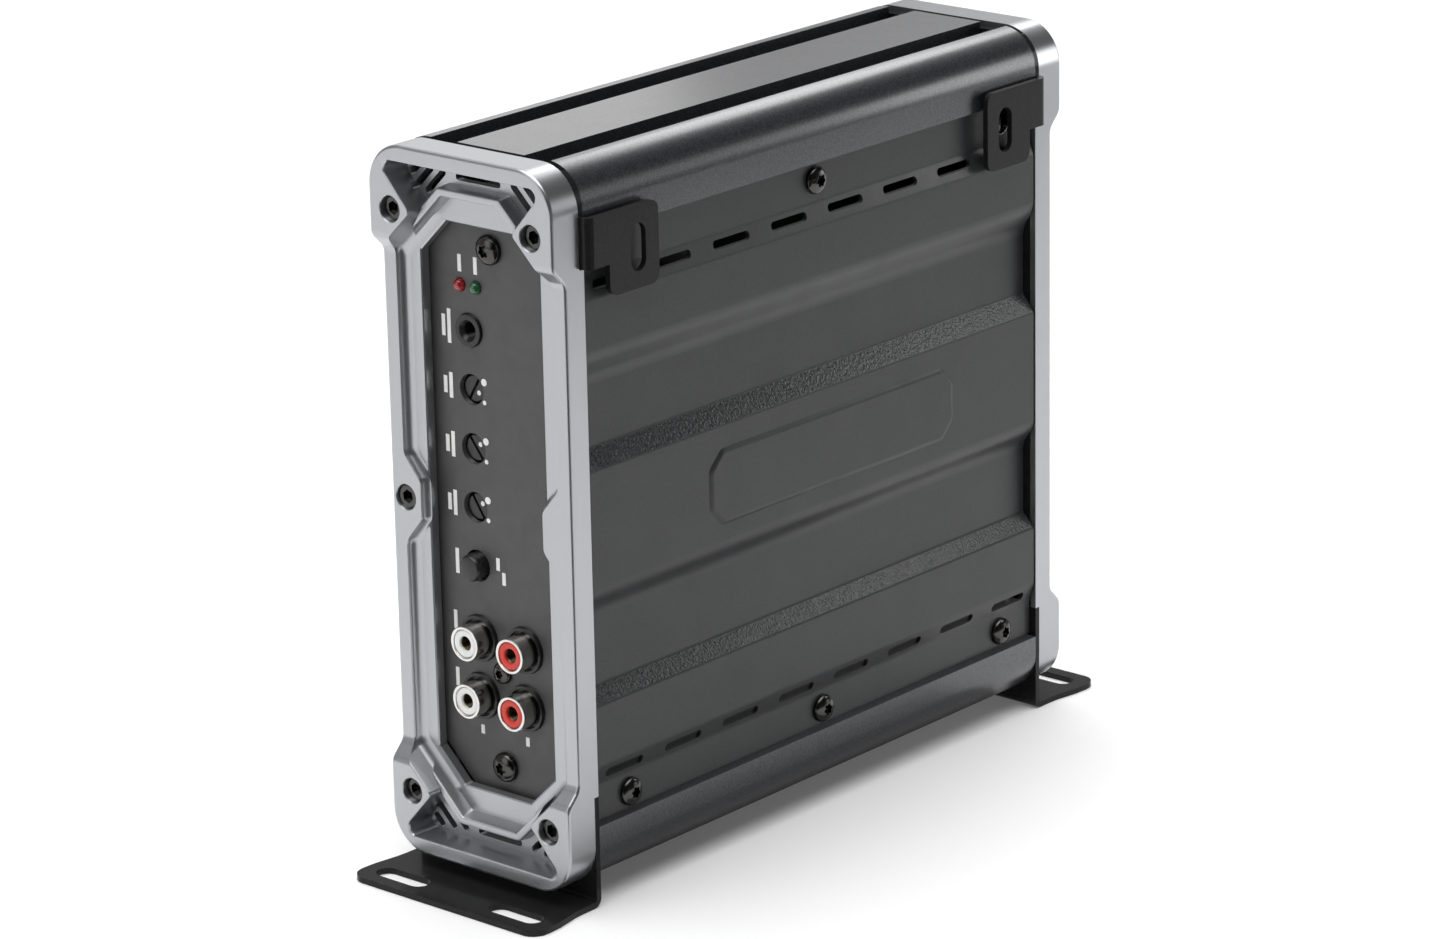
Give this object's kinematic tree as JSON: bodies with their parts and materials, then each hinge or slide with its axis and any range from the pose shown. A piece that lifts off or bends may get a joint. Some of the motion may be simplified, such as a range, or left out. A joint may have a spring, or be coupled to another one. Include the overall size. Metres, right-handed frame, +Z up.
{
  "type": "car audio amplifier",
  "caption": "Compact car amplifier with a grooved heatsink, pressed cover, end bezels, slotted sheet-metal feet, trimmers, phono sockets, screw terminals and blade fuses.",
  "frame": {"origin": "middle of the footprint, on the underside of the bracket feet", "axes": "+X out of the pressed cover, -Y out of the control end, +Y out of the power end, +Z up"},
  "size_m": [0.059, 0.2092, 0.1724],
  "materials": {
    "powder_charcoal": "fine metallic powder coat",
    "powder_dark": "satin powder coat with textured bands",
    "silver_paint": "satin silver-grey paint",
    "black_steel": "semi-gloss black over sheet steel",
    "black_screw": "black nickel plating",
    "panel_grey": "fine matt grain",
    "print_white": "screen print",
    "red_lens": "tinted lens",
    "green_lens": "tinted lens",
    "black_plastic": "moulded",
    "rotor_plastic": "moulded",
    "nickel": "nickel plating",
    "white_plastic": "moulded",
    "red_plastic": "moulded",
    "brass": "plated",
    "zinc_screw": "zinc plating",
    "fuse_amber": "translucent body, tin blades",
    "board_green": "solder mask",
    "bare_aluminium": "mill finish",
    "ferrite": "sintered",
    "copper": "enamelled wire",
    "sleeve_blue": "shrink sleeve"
  },
  "bodies": {
    "amplifier": {"heatsink_extrusion": "powder_charcoal", "bottom_cover": "powder_dark", "cover_screws": "black_screw", "front_bezel": "silver_paint", "rear_bezel": "silver_paint", "front_bezel_screws": "black_screw", "rear_bezel_screws": "black_screw", "mount_bracket_front": "black_steel", "mount_bracket_rear": "black_steel", "front_panel": "panel_grey", "rear_panel": "panel_grey", "front_panel_screws": "black_screw", "rear_panel_screws": "black_screw", "panel_marks": "print_white", "protect_led": "red_lens", "power_led": "green_lens", "remote_jack": "black_plastic", "trimmer_bodies": "black_plastic", "level_switch_body": "black_plastic", "rca_housing": "black_plastic", "rca_shells": "nickel", "rca_inserts_white": "white_plastic", "rca_inserts_red": "red_plastic", "rca_contacts": "brass", "rca_screw": "black_screw", "power_terminal_block": "black_plastic", "power_terminal_clamps": "brass", "power_terminal_screws": "zinc_screw", "speaker_terminal_block": "black_plastic", "speaker_terminal_clamps": "brass", "speaker_terminal_screws": "zinc_screw", "fuse_holder": "black_plastic", "circuit_board": "board_green", "board_standoffs": "brass", "board_screws": "zinc_screw", "panel_mount_blocks": "bare_aluminium", "power_transistors": "black_plastic", "clamp_bars": "bare_aluminium", "clamp_screws": "zinc_screw", "transformer_core": "ferrite", "transformer_winding": "copper", "output_choke": "copper", "filter_capacitors": "sleeve_blue", "control_chips": "black_plastic"},
    "bass_boost": {"bass_boost_rotor": "rotor_plastic"},
    "crossover": {"crossover_rotor": "rotor_plastic"},
    "gain": {"gain_rotor": "rotor_plastic"},
    "level_button": {"level_button": "rotor_plastic"},
    "fuse_upper": {"fuse_upper": "fuse_amber"},
    "fuse_lower": {"fuse_lower": "fuse_amber"}
  },
  "joints": [
    {"name": "bass_boost_turn", "type": "hinge", "parent": "amplifier", "child": "bass_boost", "pos_m": [-0.00765, -0.08, 0.11585], "axis": [0, 1, 0], "range_deg": [0, 298]},
    {"name": "crossover_turn", "type": "hinge", "parent": "amplifier", "child": "crossover", "pos_m": [-0.00765, -0.08, 0.102], "axis": [0, 1, 0], "range_deg": [-291, 7]},
    {"name": "gain_turn", "type": "hinge", "parent": "amplifier", "child": "gain", "pos_m": [-0.00765, -0.08, 0.08815], "axis": [0, 1, 0], "range_deg": [-295, 3]},
    {"name": "level_press", "type": "slide", "parent": "amplifier", "child": "level_button", "axis": [0, 1, 0], "range_m": [0, 0.0022], "stiffness_N_per_m": 400, "springref_m": -0.0005},
    {"name": "fuse_upper_pull", "type": "slide", "parent": "amplifier", "child": "fuse_upper", "axis": [0, 1, 0], "range_m": [0, 0.02]},
    {"name": "fuse_lower_pull", "type": "slide", "parent": "amplifier", "child": "fuse_lower", "axis": [0, 1, 0], "range_m": [0, 0.02]}
  ]
}
